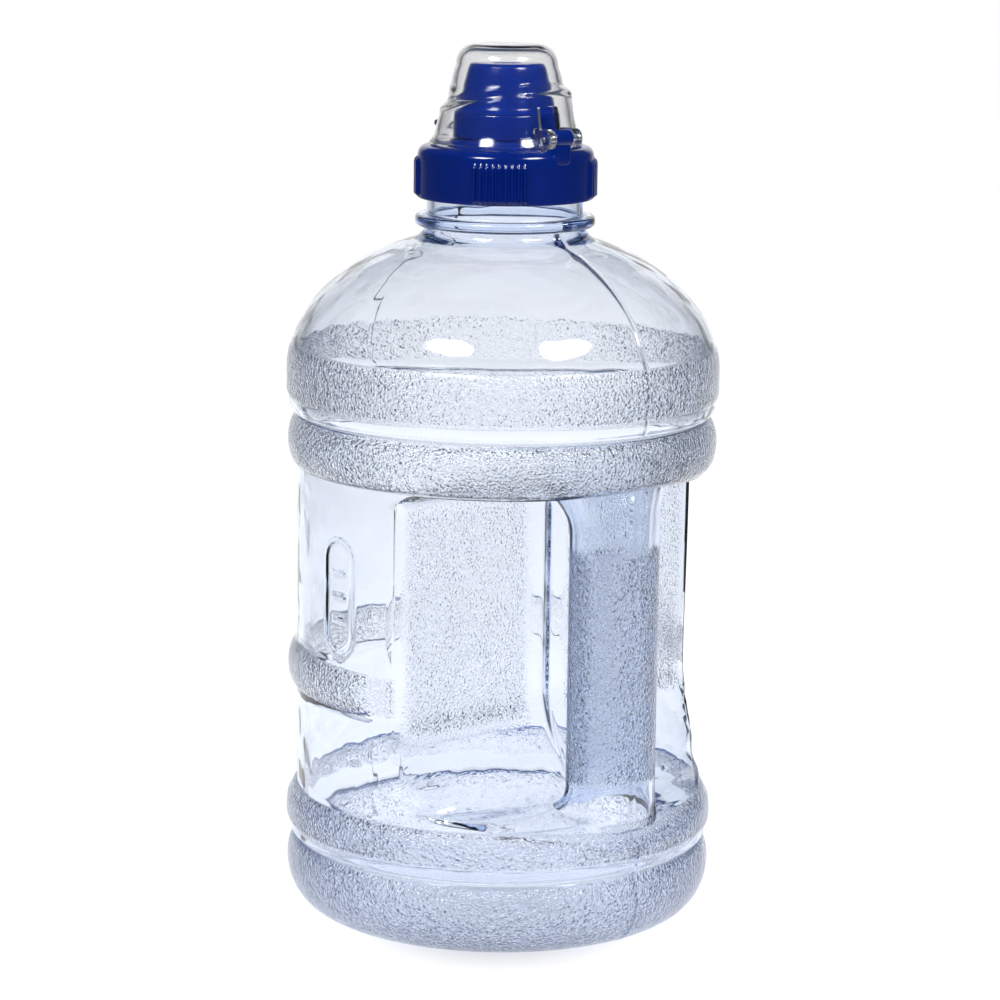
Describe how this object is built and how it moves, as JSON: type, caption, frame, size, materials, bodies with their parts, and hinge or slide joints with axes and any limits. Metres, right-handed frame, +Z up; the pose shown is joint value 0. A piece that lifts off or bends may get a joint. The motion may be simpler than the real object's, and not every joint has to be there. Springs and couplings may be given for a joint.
{
  "type": "water jug",
  "caption": "Clear refillable water jug with an integral side handle, a screw cap, a push-pull drinking spout and a flip dust cover.",
  "frame": {"origin": "centre of the base on the surface the jug stands on", "axes": "+Z up along the jug's axis, +X towards the handle and the dust cover's hinge, -Y towards the gauge mark"},
  "size_m": [0.13, 0.13, 0.264],
  "materials": {
    "clear_body": "clear blue-tinted polycarbonate, pebbled on the bands, the handle and the recess wall",
    "blue_plastic": "glossy opaque royal blue polypropylene",
    "clear_cover": "clear colourless glossy plastic",
    "liner": "white soft sealing foam",
    "seal": "translucent white silicone",
    "pin_steel": "bright stainless wire"
  },
  "bodies": {
    "jug": {"jug_body": "clear_body"},
    "liner": {"cap_liner": "liner"},
    "cap": {"screw_cap": "blue_plastic", "spout_seal": "seal", "hinge_pin": "pin_steel"},
    "spout": {"pull_spout": "blue_plastic"},
    "cover": {"dust_cover": "clear_cover"}
  },
  "joints": [
    {"name": "cap_lift", "type": "slide", "parent": "jug", "child": "liner", "axis": [0, 0, 1], "range_m": [0, 0.015]},
    {"name": "cap_turn", "type": "hinge", "parent": "liner", "child": "cap", "pos_m": [0, 0, 0.23], "axis": [0, 0, 1], "range_deg": [0, 1080]},
    {"name": "spout_pull", "type": "slide", "parent": "cap", "child": "spout", "axis": [0, 0, 1], "range_m": [0, 0.0035]},
    {"name": "cover_flip", "type": "hinge", "parent": "cap", "child": "cover", "pos_m": [0.0245, 0, 0.2376], "axis": [0, 1, 0], "range_deg": [0, 135]}
  ],
  "couplings": [
    {"joint": "cap_lift", "follows": "cap_turn", "m_per_rad": 0.00079577}
  ]
}
